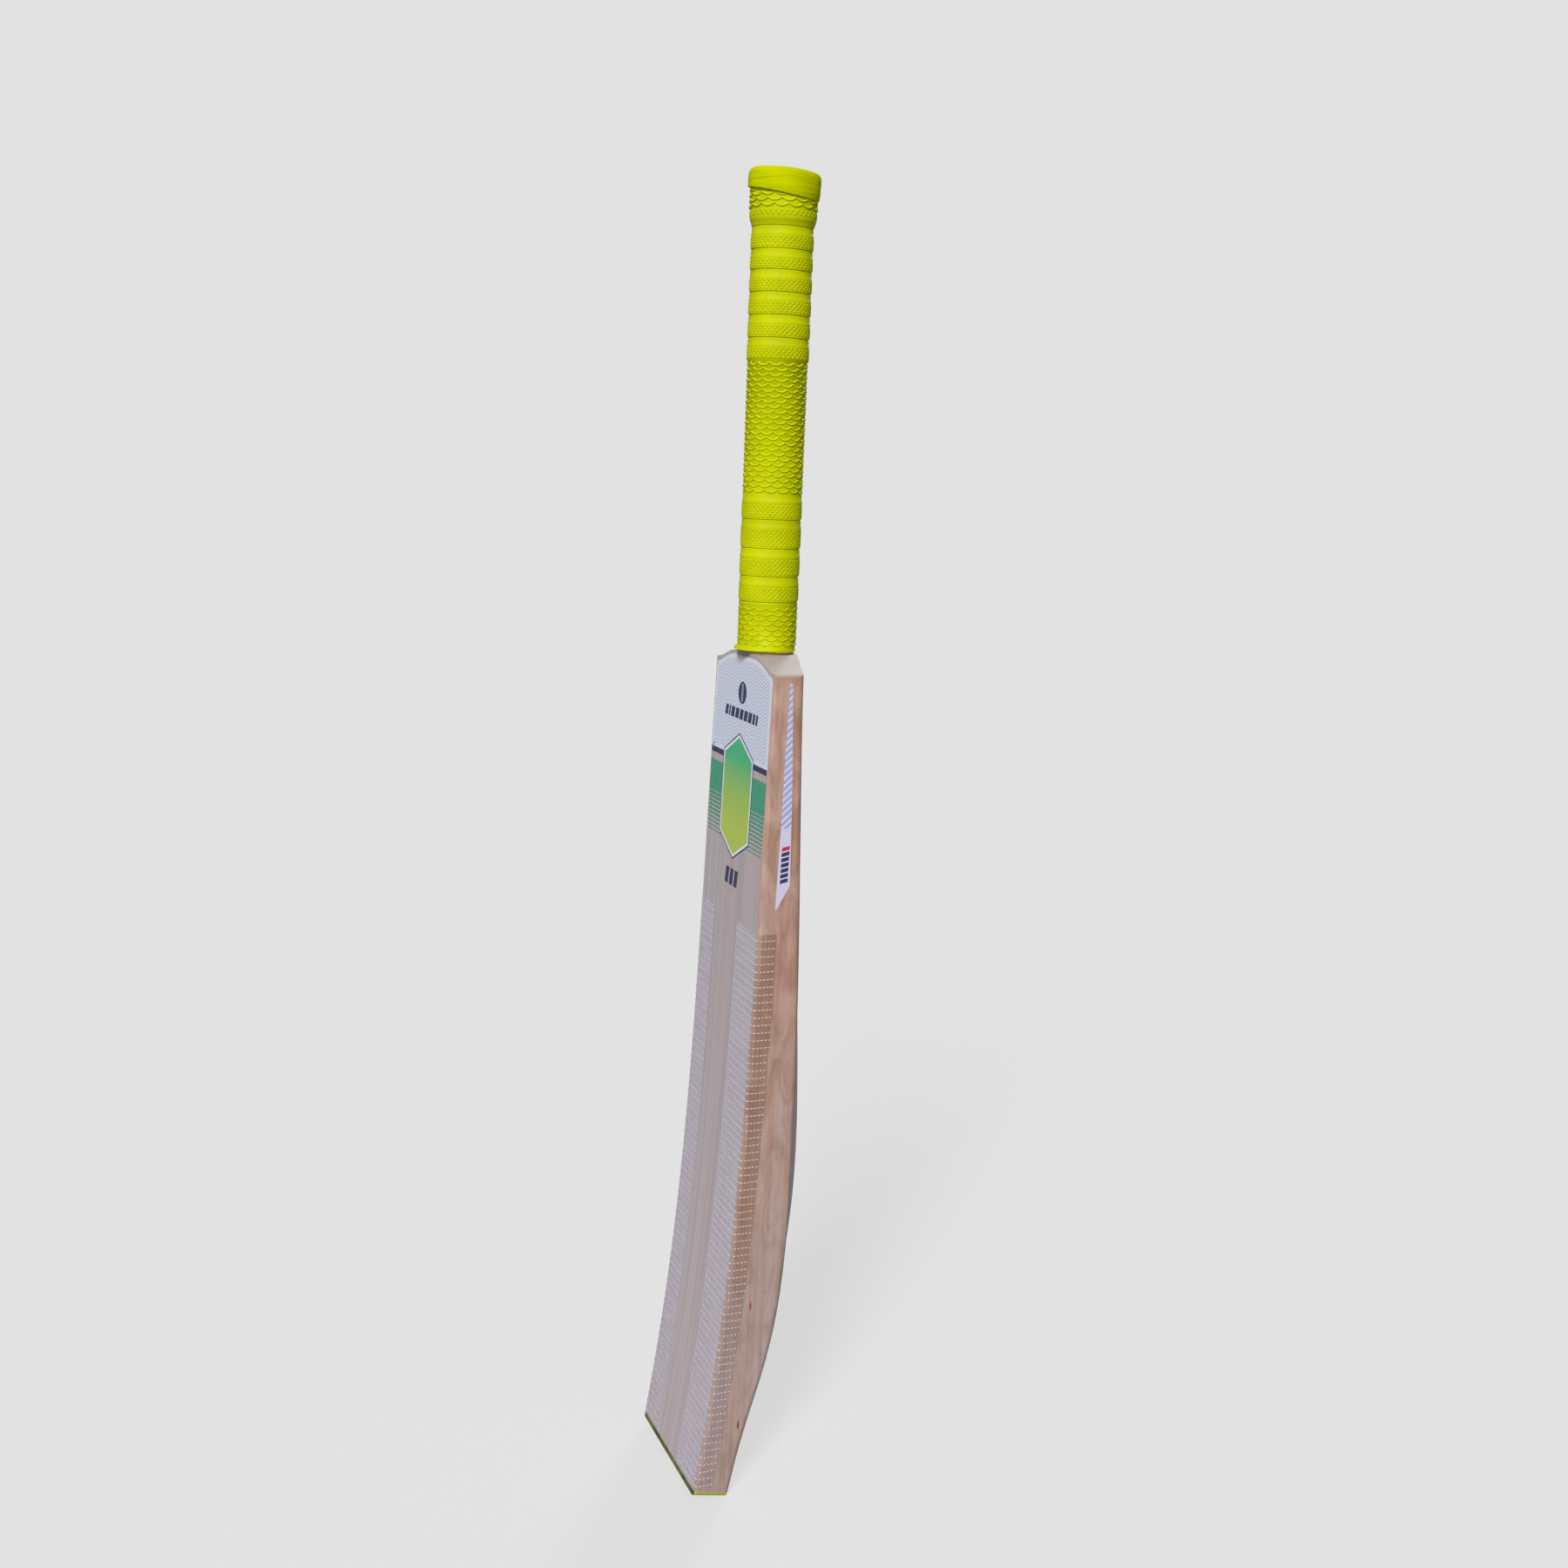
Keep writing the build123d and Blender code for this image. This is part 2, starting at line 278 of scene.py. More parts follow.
def oliveFrontRubber():
    # the toe guard's sheet of the same rubber, dark olive on the faces that look to the front
    material, tree, surface, place = newMaterial("oliveFrontRubber", {"Roughness": 0.5, "Specular IOR Level": 0.1})
    front = evenly(tree, axes(tree, place.outputs["Normal"])["Y"], -0.6, -0.9)
    mottle = stretchedNoise(tree, place, (9, 9, 9))
    olive = toned(tree, mottle, [(0.35, hexColour("4c5236")), (0.7, hexColour("7d8446"))])
    mix = addNode(tree, "ShaderNodeMix", {"data_type": "RGBA"}, {6: hexColour("c4cc10")},
                  {0: front, 7: olive})
    tree.links.new(mix.outputs[2], surface.inputs["Base Color"])
    return material


willowSettings = {
    # the face tones below carry a lavender tint that is partly painted cool light
    "facePale": "cdc1c6",
    "faceWarm": "cab8b8",
    "faceGrey": "c2bcbf",
    "sideHigh": ("b08a7a", "c8a696"),  # under the shoulder
    "sideLow": ("ae9890", "bca8a2"),  # near the toe
    "streak": "f8e2d2",  # what the orange streaks in the heartwood take away
    "heartEdge": 51.5,  # where the heartwood starts, out from the middle
    "heartCorner": 45.0,  # and how far round the back corner it reaches
    "cutTop": ("a89c98", "bcb2b2"),
    "knotSize": (1.2, 5.0),  # across and along the grain
    "knots": ((133.0, 18.0, "a8503c"), (49.0, 22.5, "6c443a")),  # height, depth behind the face, colour
}


def surfaceY(x, z):
    # where the blade's front lies
    return cad["blade"].ray_cast((x, -200 * mm, z), (0, 1, 0))[1].y


def withKnot(tree, place, ground, spot, colour):
    # a pin knot, in the right-hand edge only
    across, along = willowSettings["knotSize"]
    away = addNode(tree, "ShaderNodeMapping", {"vector_type": "TEXTURE"},
                   {"Location": spot, "Scale": (1.0, across * mm, along * mm)},
                   {"Vector": place.outputs["Object"]})
    flat = addNode(tree, "ShaderNodeVectorMath", {"operation": "MULTIPLY"}, {1: (0, 1, 1)},
                   {0: away.outputs["Vector"]})
    length = addNode(tree, "ShaderNodeVectorMath", {"operation": "LENGTH"}, links={0: flat.outputs["Vector"]})
    near = ranged(tree, length.outputs["Value"], 1.0, 0.2)
    dark = addNode(tree, "ShaderNodeMix", {"data_type": "RGBA"}, {7: colour}, {0: near, 6: ground})
    return dark.outputs[2]


def pressedWillow():
    # sawn, pressed and sanded white willow: straight close grain up the blade, pale on the face,
    # where a cool lavender tint is partly the wood's tone and partly painted bluish light,
    # with a warm band of heartwood down the right-hand edge that shows a slanting flame
    w = willowSettings
    material, tree, surface, place = newMaterial("pressedWillow", {"Roughness": 0.55, "IOR": 1.5,
                                                                   "Specular IOR Level": 0.3})
    spot = axes(tree, place.outputs["Object"])
    normal = axes(tree, place.outputs["Normal"])
    rings = stretchedNoise(tree, place, (7, 60, 900), 2.0)
    # the face tones: the wood's pale colour with a painted tint of cool, bluish light
    face = toned(tree, rings, [(0.32, hexColour(w["faceWarm"])), (0.5, hexColour(w["facePale"])),
                               (0.68, hexColour(w["faceGrey"]))])
    lines = stretchedNoise(tree, place, (1.3, 30, 500), 4.0)
    lineTone = toned(tree, lines, [(0.3, hexColour("d9d2d0")), (0.6, hexColour("ffffff"))])
    face = blended(tree, 0.8, face, lineTone, "MULTIPLY")
    flame = stretchedNoise(tree, place, (90, 11, 30), 3.0, 1.2, (0.75, 0, 0))
    high = toned(tree, flame, [(0.35, hexColour(w["sideHigh"][0])), (0.6, hexColour(w["sideHigh"][1]))])
    low = toned(tree, flame, [(0.35, hexColour(w["sideLow"][0])), (0.6, hexColour(w["sideLow"][1]))])
    rise = ranged(tree, spot["Z"], 60 * mm, 500 * mm)
    side = blended(tree, rise, low, high)
    pores = stretchedNoise(tree, place, (30, 1.4, 110), 4.0)
    poreTone = toned(tree, pores, [(0.3, hexColour("e0d4cc")), (0.6, hexColour("ffffff"))])
    side = blended(tree, 0.45, side, poreTone, "MULTIPLY")
    streaks = stretchedNoise(tree, place, (30, 5, 420), 2.0)
    streakTone = toned(tree, streaks, [(0.42, hexColour("ffffff")), (0.62, hexColour(w["streak"]))])
    side = blended(tree, 0.6, side, streakTone, "MULTIPLY")
    for height, depth, code in w["knots"]:
        middle = Vector((0, surfaceY(50 * mm, height * mm) + depth * mm, height * mm))
        side = withKnot(tree, place, side, middle, hexColour(code))
    outside = ranged(tree, spot["X"], (w["heartEdge"] - 1) * mm, (w["heartEdge"] + 1) * mm)
    facing = ranged(tree, normal["X"], 0.3, 0.45)
    nearEdge = ranged(tree, spot["X"], (w["heartCorner"] - 2) * mm, (w["heartCorner"] + 2) * mm)
    heart = worked(tree, "MAXIMUM", outside, worked(tree, "MULTIPLY", facing, nearEdge))
    body = blended(tree, heart, face, side)
    cut = ranged(tree, normal["Z"], 0.45, 0.7)
    cutTone = toned(tree, lines, [(0.3, hexColour(w["cutTop"][0])), (0.7, hexColour(w["cutTop"][1]))])
    tree.links.new(blended(tree, cut, body, cutTone), surface.inputs["Base Color"])
    return material


def splitCane(name, stops):
    # manau cane, sawn to strips and glued: pale straw with fine pores along it
    material, tree, surface, place = newMaterial(name, {"Roughness": 0.55, "IOR": 1.5})
    pores = stretchedNoise(tree, place, (1.2, 1.2, 60))
    tree.links.new(toned(tree, pores, stops), surface.inputs["Base Color"])
    return material


def clouded(name, code, roughness, size=6.0, spread=0.05):
    # one colour, a little uneven, the way a dyed, coated or printed surface is
    material, tree, surface, place = newMaterial(name, {"Roughness": roughness, "Specular IOR Level": 0.3})
    cloud = stretchedNoise(tree, place, (size, size, size))
    colour = hexColour(code)
    stops = [(0.3, shade(colour, 1 - spread)), (0.7, shade(colour, 1 + spread))]
    tree.links.new(toned(tree, cloud, stops), surface.inputs["Base Color"])
    return material


def printedVinyl(name, roughness=0.4):
    return newMaterial(name, {"Roughness": roughness, "Specular IOR Level": 0.3})


def printedGradient():
    # screen-printed vinyl: emerald at the top running into lime
    material, tree, surface, place = printedVinyl("printedGradientVinyl", 0.35)
    rise = evenly(tree, axes(tree, place.outputs["Object"])["Z"], 421 * mm, 500 * mm)
    stops = [(0.25, hexColour("c2d65c")), (0.55, hexColour("a8cf66")), (0.85, hexColour("4cc488"))]
    tree.links.new(toned(tree, rise, stops), surface.inputs["Base Color"])
    return material


def zigzagVinyl():
    # printed vinyl: lavender-blue under rows of fine zigzag
    # the rows are 0.9 mm apart, and drawn at 2.4 mm so that they show
    rowHalf = 1.2 * mm
    material, tree, surface, place = printedVinyl("zigzagVinyl")
    spot = axes(tree, place.outputs["Object"])
    tooth = worked(tree, "PINGPONG", spot["X"], 10.5 * mm)
    lean = worked(tree, "ADD", worked(tree, "MULTIPLY", tooth, 0.5), spot["Z"])
    share = worked(tree, "DIVIDE", worked(tree, "PINGPONG", lean, rowHalf), rowHalf)
    colour = toned(tree, share, [(0.3, hexColour("c4ccee")), (0.6, hexColour("f0f6ff"))])
    tree.links.new(colour, surface.inputs["Base Color"])
    return material


def stripedVinyl():
    # printed vinyl: slanting steel-blue stripes on lavender, over the upper part of the edge and back labels
    material, tree, surface, place = printedVinyl("stripedVinyl")
    spot = axes(tree, place.outputs["Object"])
    lean = worked(tree, "ADD", worked(tree, "MULTIPLY", spot["Y"], -0.9), spot["Z"])
    stripe = ranged(tree, worked(tree, "PINGPONG", lean, 2.2 * mm), 1.0 * mm, 1.3 * mm)
    above = ranged(tree, spot["Z"], 451 * mm, 452 * mm)
    both = worked(tree, "MULTIPLY", stripe, above)
    colour = toned(tree, both, [(0.1, hexColour("d8d3ec")), (0.9, hexColour("a2acda"))])
    tree.links.new(colour, surface.inputs["Base Color"])
    return material


def sideways(tree, socket):
    # how far out to either side
    return worked(tree, "ABSOLUTE", axes(tree, socket)["X"], 0.0)


def towardToe(tree, place, low, high):
    # from the low colour near the toe to the high one further up, as the glue has wetted the edge
    rise = ranged(tree, axes(tree, place.outputs["Object"])["Z"], 70 * mm, 210 * mm)
    return toned(tree, rise, [(0.0, hexColour(low)), (1.0, hexColour(high))])


def fineThread():
    # the tape's long glass threads: pale over the face, and brown where glue has wetted the edge
    material, tree, surface, place = newMaterial("fineGlassThread", {"Roughness": 0.45,
                                                                     "Specular IOR Level": 0.3})
    overEdge = ranged(tree, sideways(tree, place.outputs["Object"]), 51 * mm, 53 * mm)
    edge = towardToe(tree, place, "b4a4a8", "a88672")
    glint = stretchedNoise(tree, place, (20, 2, 2))
    face = toned(tree, glint, [(0.3, hexColour("bfb9c2")), (0.7, hexColour("cbc5ce"))])
    tree.links.new(blended(tree, overEdge, face, edge), surface.inputs["Base Color"])
    return material


def crossThread():
    # the tape's bold glass threads: white over the face, and brown down the edge with pale spots that are
    # painted highlights
    material, tree, surface, place = newMaterial("glassThread", {"Roughness": 0.4, "Specular IOR Level": 0.3})
    overEdge = ranged(tree, sideways(tree, place.outputs["Object"]), 51.5 * mm, 53.5 * mm)
    # the pale spots down the edge are painted highlights, standing for the glints of light on the threads
    glintSpots = worked(tree, "PINGPONG", axes(tree, place.outputs["Object"])["Y"], 1.3 * mm)
    share = ranged(tree, glintSpots, 0.3 * mm, 0.9 * mm)
    edgeGlints = toned(tree, share, [(0.0, hexColour("ac8c7e")), (1.0, hexColour("dccab8"))])
    glint = stretchedNoise(tree, place, (20, 2, 2))
    face = toned(tree, glint, [(0.3, hexColour("ccc6ce")), (0.7, hexColour("dcd6de"))])
    tree.links.new(blended(tree, overEdge, face, edgeGlints), surface.inputs["Base Color"])
    return material


def fibreFilm():
    # clear polyester tape: it hazes the face, and its glue wets the heartwood at the edge a shade darker
    material, tree, surface, place = newMaterial("fibreTapeFilm", {"Roughness": 0.3, "Alpha": 0.2,
                                                                   "Coat Weight": 0.15})
    overEdge = ranged(tree, sideways(tree, place.outputs["Normal"]), 0.3, 0.8)
    edge = towardToe(tree, place, "b0a4b0", "a07a68")
    haze = stretchedNoise(tree, place, (4, 30, 300))
    face = toned(tree, haze, [(0.3, hexColour("c4bece")), (0.7, hexColour("ccc6d6"))])
    tree.links.new(blended(tree, overEdge, face, edge), surface.inputs["Base Color"])
    return material


limeRubber = mouldedRubber("mouldedRubber", False)
limeWrinkled = mouldedRubber("stretchedRubber", True)
willow = pressedWillow()
cane = splitCane("splitCane", [(0.3, hexColour("b8a898")), (0.7, hexColour("ccbcae"))])
springRubber = clouded("sheetRubber", "1c1b1a", 0.7)
waxedTwine = clouded("waxedTwine", "b9aa86", 0.6, 1.5, 0.2)
clearFilm = fibreFilm()
threadWhite = crossThread()
threadFine = fineThread()
vinylBorder = clouded("paleVinyl", "eef1fc", 0.4)
vinylGround = zigzagVinyl()
vinylStriped = stripedVinyl()
vinylGradient = printedGradient()
vinylNavy = clouded("navyVinyl", "3d3d66", 0.4)
vinylWhite = clouded("whiteVinyl", "f0f5f8", 0.4)
vinylGreen = clouded("emeraldVinyl", "4ba886", 0.4)
vinylRed = clouded("redVinyl", "c8385a", 0.4)

repaint("blade", willow)
repaint("toe_guard", oliveFrontRubber())
repaint("handle_binding", waxedTwine)
for layer in "1234":
    for side in ("left", "middle", "right"):
        repaint("cane_" + layer + "_" + side, cane)
for number in "123":
    repaint("spring_" + number, springRubber)
for side in ("right", "left"):
    repaint("edge_label_" + side, vinylStriped)
    repaint("back_label_" + side, vinylStriped)
print("materials on the frame")

# grip

gripSettings = {
    "rounds": 128,
    "halfWidth": 18.0,
    "halfDepth": 19.2,
    "wall": 1.6,
    "grooveDepth": 0.45,
    "grooveHalf": 0.6,
    "upperGrooves": (751.3, 765.0, 778.5, 791.7, 804.0),
    "lowerGrooves": (589.1, 605.1, 622.6, 640.6),
    "upperPlain": 3.8,  # of smooth rubber below each groove, before the raised panel
    "lowerPlain": 4.0,
    "panelRise": 0.15,
    "ledge": 0.25,  # of the lip along each panel's top, above the panel
    "lowerSwell": -0.35,  # of the sleeve below the middle scales
    "lowScaleTop": 586.6,
    "midScales": (656.9, 737.4),
    "lipSwell": 0.5,  # of the sleeve's foot
    "lipForward": 1.3,
    "flareGroove": 817.4,
    "sleeveTop": 846.5,
    "scaleBase": -0.55,  # of the sleeve under the scales
    "flareSwell": 1.5,
}


def pullOval(name, steps):
    # a circle pulled ring by ring through (height, swell) steps, both in mm
    height, swell = steps[0]
    width = gripSettings["halfWidth"] + swell
    depth = gripSettings["halfDepth"] + swell
    clearSelection()
    bpy.ops.mesh.primitive_circle_add(vertices=gripSettings["rounds"], radius=1.0, fill_type="NOTHING",
                                      location=(0, axisY, height * mm))
    piece = named(name)
    bpy.ops.object.mode_set(mode="EDIT")
    bpy.ops.mesh.select_mode(type="EDGE")
    bpy.ops.mesh.select_all(action="SELECT")
    bpy.ops.transform.resize(value=(width * mm, depth * mm, 1), center_override=(0, axisY, height * mm))
    for nextHeight, nextSwell in steps[1:]:
        nextWidth = gripSettings["halfWidth"] + nextSwell
        nextDepth = gripSettings["halfDepth"] + nextSwell
        climb = (nextHeight - height) * mm
        bpy.ops.mesh.extrude_region_move(TRANSFORM_OT_translate={"value": (0, 0, climb)})
        bpy.ops.transform.resize(value=(nextWidth / width, nextDepth / depth, 1),
                                 center_override=(0, axisY, nextHeight * mm))
        height, width, depth = nextHeight, nextWidth, nextDepth
    return piece


def closeRings(piece):
    # the last ring lies on the first, so the shell closes
    bpy.ops.mesh.select_all(action="SELECT")
    bpy.ops.mesh.remove_doubles(threshold=0.005 * mm)
    bpy.ops.mesh.normals_make_consistent(inside=False)
    bpy.ops.object.mode_set(mode="OBJECT")
    return settle(piece)


def panelSpans():
    # each raised panel runs from just above one groove to the smooth band under the next
    s = gripSettings
    scalesLow, scalesHigh = s["midScales"]
    runs = ((s["lowerGrooves"], s["lowerPlain"], scalesLow - 0.3),
            (s["upperGrooves"], s["upperPlain"], s["flareGroove"]))
    spans = []
    for grooves, plain, end in runs:
        for groove, nextGroove in zip(grooves, (*grooves[1:], end)):
            spans.append((groove + s["grooveHalf"], nextGroove - plain))
    return spans + [(scalesHigh + 0.8, s["upperGrooves"][0] - s["upperPlain"])]


def swellAt(height):
    return gripSettings["lowerSwell"] if height < gripSettings["midScales"][0] else 0.0


def grooveSteps(height, below, above):
    # a narrow groove, from the surface below it to the one above
    s = gripSettings
    bottom = below - s["grooveDepth"]
    return [(height - s["grooveHalf"], below), (height - 0.25, bottom), (height + 0.2, bottom),
            (height + 0.5, above)]


def buildSleeve():
    s = gripSettings
    base = s["scaleBase"]
    rise = s["panelRise"]
    lip = s["lipSwell"]
    scalesLow, scalesHigh = s["midScales"]
    steps = [(gripLow, -s["wall"]), (gripLow, lip - 0.6), (gripLow + 0.8, lip), (gripLow + 2.2, lip - 0.3)]
    steps += [(gripLow + 3.4, base), (s["lowScaleTop"], base), (s["lowScaleTop"] + 0.6, s["lowerSwell"])]
    for low, high in sorted(panelSpans()):
        out = swellAt(low)
        if scalesHigh < low < s["upperGrooves"][0]:
            steps += [(scalesLow, base), (scalesHigh, base), (scalesHigh + 0.6, rise)]
        else:
            steps += grooveSteps(low - s["grooveHalf"], out, out + rise)
        steps += [(high - 2.0, out + rise), (high - 0.5, out + rise + s["ledge"]), (high, out)]
    flare = s["flareGroove"]
    steps += grooveSteps(flare, 0.0, 0.1)
    for up, share in ((1.6, 0.2), (2.7, 0.5), (3.8, 0.85), (5.2, 1.0), (8.0, 0.97)):
        steps.append((flare + up, share * s["flareSwell"]))
    steps += [(s["sleeveTop"], s["flareSwell"]), (s["sleeveTop"], -s["wall"] + 0.05), (gripLow, -s["wall"])]
    sleeve = pullOval("gripSleeve", steps)
    # the foot of the sleeve is stretched forward over the blade's neck
    pick(sleeve, "verts", lambda spot: spot.z < (gripLow + 2.5) * mm
         and math.hypot(spot.x / s["halfWidth"], (spot.y - axisY) / s["halfDepth"]) > mm)
    bpy.ops.transform.translate(value=(0, -s["lipForward"] * mm, 0))
    closeRings(sleeve)
    smoothShade(sleeve, 50)
    return sleeve


sleeve = buildSleeve()
finished(sleeve, limeRubber, ["grip"])
print("grip sleeve", len(sleeve.data.polygons))

hatchSettings = {
    "around": 38,  # studs in a ring: the mould's 1.4 mm, drawn at 3.1 mm so that they show
    "pitch": 3.1,
    "height": 0.4,
    "topShare": 0.35,  # the stud's flat top against its foot
    "sink": 0.1,
    "topGap": 0.9,  # of plain rubber under each panel's ledge
    "flareSpans": ((0.6, 3.2, 0.1), (5.4, 11.0, 1.3)),  # above the flare's groove, and how far out
}


def ringOf(piece, count, swell):
    # copies of a piece stood round the handle, each turned to face out
    width = gripSettings["halfWidth"] + swell
    depth = gripSettings["halfDepth"] + swell
    copies = []
    for i in range(count):
        turn = 2 * math.pi * i / count
        out = Vector((math.cos(turn) / width, math.sin(turn) / depth, 0)).normalized()
        facing = math.atan2(out.y, out.x) - math.pi / 2
        spot = Vector((width * math.cos(turn) * mm, axisY + depth * math.sin(turn) * mm, 0))
        copies.append(copyOf(piece, Matrix.Translation(spot) @ Matrix.Rotation(facing, 4, "Z")))
    bpy.data.objects.remove(piece)
    return settle(joined("ring", copies))


def turnedRing(ring, height, turn, swell):
    # a copy of the ring at its height, turned and widened along the oval
    # the turn shears it, so it goes in the mesh
    s = gripSettings
    squash = Matrix.Scale(s["halfWidth"] / s["halfDepth"], 4, (1, 0, 0))
    wide = (s["halfWidth"] + swell) / s["halfWidth"]
    along = Matrix.Diagonal((wide, wide, 1, 1)) @ squash @ Matrix.Rotation(turn, 4, "Z") @ squash.inverted()
    toAxis = Matrix.Translation((0, -axisY, 0))
    row = copyOf(ring)
    row.data.transform(Matrix.Translation((0, axisY, height * mm)) @ along @ toAxis)
    return row


def buildStud():
    # a low four-sided stud, a corner up and a corner down, with no back
    s = hatchSettings
    foot = s["pitch"] / 2 * mm
    clearSelection()
    bpy.ops.mesh.primitive_cone_add(vertices=4, radius1=foot, radius2=foot * s["topShare"],
                                    depth=s["height"] * mm, end_fill_type="NGON",
                                    rotation=(math.radians(-90), 0, 0))
    stud = settle(named("hatchStud"))
    bpy.ops.object.mode_set(mode="EDIT")
    pick(stud, "faces", lambda spot: spot.y < -0.49 * s["height"] * mm)
    bpy.ops.mesh.delete(type="FACE")
    bpy.ops.object.mode_set(mode="OBJECT")
    return stud


def buildHatch():
    s = hatchSettings
    swell = gripSettings["panelRise"] + s["height"] / 2 - s["sink"]
    ring = ringOf(buildStud(), s["around"], swell)
    flare = gripSettings["flareGroove"]
    step = s["pitch"] / 2
    spans = [(low, high - s["topGap"], swellAt(low)) for low, high in panelSpans()]
    spans += [(flare + low, flare + high, more) for low, high, more in s["flareSpans"]]
    copies = []
    for low, high, more in spans:
        count = int((high - low - s["pitch"]) / step) + 1
        for i in range(count):
            height = low + step * (i + 1)
            copies.append(turnedRing(ring, height, math.pi / s["around"] * (i % 2), more))
    bpy.data.objects.remove(ring)
    return settle(joined("gripHatch", copies))


hatch = buildHatch()
finished(hatch, limeRubber, ["grip"])
print("grip hatch", len(hatch.data.polygons))

scaleSettings = {
    "around": 15,
    "halfWidth": 3.95,
    "sag": 1.75,  # the lip's middle below its ends
    "profile": ((-0.9, 1.05), (0.0, 1.05), (0.6, 0.3), (0.6, 0.0), (0.15, -0.3), (-0.9, -0.3)),  # out and up
    "steps": 8,
    "rise": 0.4,  # of each row above the foot of its pitch
    # foot, top, rows and swell of each zone
    "zones": ((561.2, 586.6, 8, -0.7), (656.9, 737.3, 25, -0.6), (828.0, 844.0, 5, 1.45)),
}


def buildScale():
    # the lip of one fish-scale: a crescent, sloping above and steep below, bent to lie round the handle
    s = scaleSettings
    radius = (s["halfWidth"] ** 2 + s["sag"] ** 2) / (2 * s["sag"])
    half = math.asin(s["halfWidth"] / radius)

    def atStart(out, up):
        arm = radius - up
        return (-arm * math.sin(half) * mm, out * mm, (radius - arm * math.cos(half)) * mm)

    scale = flatShape("gripScale", s["profile"], atStart)
    bpy.ops.object.mode_set(mode="EDIT")
    bpy.ops.mesh.select_mode(type="FACE")
    bpy.ops.mesh.select_all(action="SELECT")
    bpy.ops.mesh.spin(steps=s["steps"], angle=2 * half, center=(0, 0, radius * mm), axis=(0, 1, 0))
    bpy.ops.mesh.select_all(action="SELECT")
    bpy.ops.mesh.normals_make_consistent(inside=False)
    bpy.ops.object.mode_set(mode="OBJECT")
    settle(scale)
    bend = -scale.dimensions.x / (gripSettings["halfDepth"] * mm)
    applied(scale, "SIMPLE_DEFORM", {"deform_method": "BEND", "deform_axis": "Z", "angle": bend})
    return scale


def buildScales():
    s = scaleSettings
    ring = ringOf(buildScale(), s["around"], 0.0)
    copies = []
    for low, high, count, swell in s["zones"]:
        pitch = (high - low) / count
        for i in range(count):
            height = low + pitch * i + s["rise"]
            copies.append(turnedRing(ring, height, math.pi / s["around"] * (i % 2), swell))
    bpy.data.objects.remove(ring)
    scales = settle(joined("gripScales", copies))
    smoothShade(scales, 35)
    return scales


scales = buildScales()
finished(scales, limeRubber, ["grip"])
print("grip scales", len(scales.data.polygons))

cuffSettings = {
    "swell": 3.3,
    "inner": 1.4,
    "cutBelow": 824.0,  # the walls start here and are cut off above it
    "edgeHeight": 837.65,  # of the rolled edge at the handle's axis
    "edgeTilt": (0.126, 0.127, 1.0),  # the fold lies aslant
    "topTilt": 3.5,  # degrees
    "tiltDepth": 8.0,  # how far below the rim the tilt starts
    "edgeRound": 0.7,
}


def buildCuff():
    # the sleeve's end, rolled back down over itself: pulled as two walls, then cut aslant and closed below
    s = cuffSettings
    swell = s["swell"]
    top = gripHigh - 0.6
    steps = [(s["cutBelow"], s["inner"]), (top - 5.6, s["inner"]), (top - 5.0, -1.55), (top - 2.6, -1.5)]
    steps += [(top - 1.2, -1.0)]
    steps += [(top - 0.35, -0.1), (top, 1.1), (top - 0.35, 2.1), (top - 1.2, 2.8), (top - 2.6, swell)]
    steps += [(top - 5.0, swell + 0.1), (top - 9.0, swell), (top - 12.0, swell), (top - 14.5, swell - 0.3)]
    steps += [(top - 17.0, swell - 0.9), (s["cutBelow"], s["inner"] + 0.5)]
    cuff = pullOval("gripCuff", steps)
    hinge = (top - s["tiltDepth"]) * mm
    pick(cuff, "verts", lambda spot: spot.z > hinge)
    bpy.ops.transform.rotate(value=math.radians(s["topTilt"]), orient_axis="X",
                             center_override=(0, axisY, hinge))
    bpy.ops.mesh.select_all(action="SELECT")
    bpy.ops.mesh.bisect(plane_co=(0, axisY, s["edgeHeight"] * mm), plane_no=s["edgeTilt"], clear_inner=True)
    bpy.ops.mesh.select_mode(type="EDGE")
    bpy.ops.mesh.select_all(action="DESELECT")
    bpy.ops.mesh.select_non_manifold(extend=False, use_boundary=True, use_wire=False, use_multi_face=False,
                                     use_non_contiguous=False, use_verts=False)
    bpy.ops.mesh.bridge_edge_loops()
    bpy.ops.mesh.select_all(action="SELECT")
    bpy.ops.mesh.normals_make_consistent(inside=False)
    bpy.ops.object.mode_set(mode="OBJECT")
    settle(cuff)
    applied(cuff, "BEVEL", {"width": s["edgeRound"] * mm, "segments": 3, "limit_method": "ANGLE",
                            "angle_limit": math.radians(50)})
    smoothShade(cuff, 40)
    return cuff


cuff = buildCuff()
finished(cuff, limeWrinkled, ["grip"])
print("grip cuff", len(cuff.data.polygons))

# face tapes

tapeSettings = {
    "threadPitch": 5.0,  # of the bold threads across the tape
    "threadWidth": 0.9,
    "threadHeight": 0.3,
    "finePitch": 1.25,  # of the fine threads along it, woven at 1.1 mm
    "fineWidth": 0.3,
    "cornerRadius": 2.75,
    "rightOnSide": 12.5,
    "leftOnSide": 23.0,
    "fineSteps": 24,
    "lift": 0.28,  # of the threads' middles off the wood
    "firstThread": 2.0,  # above the tape's end
    "endGap": 0.2,
    "readAcross": 30.0,  # where the face is read, out from the middle
    "readBehind": 8.0,  # where the edge is read, behind the face
}


def edgeX(z, side):
    # where the blade's edge lies
    behind = surfaceY(0, z) + tapeSettings["readBehind"] * mm
    return cad["blade"].ray_cast((side * 200 * mm, behind, z), (-side, 0, 0))[1].x


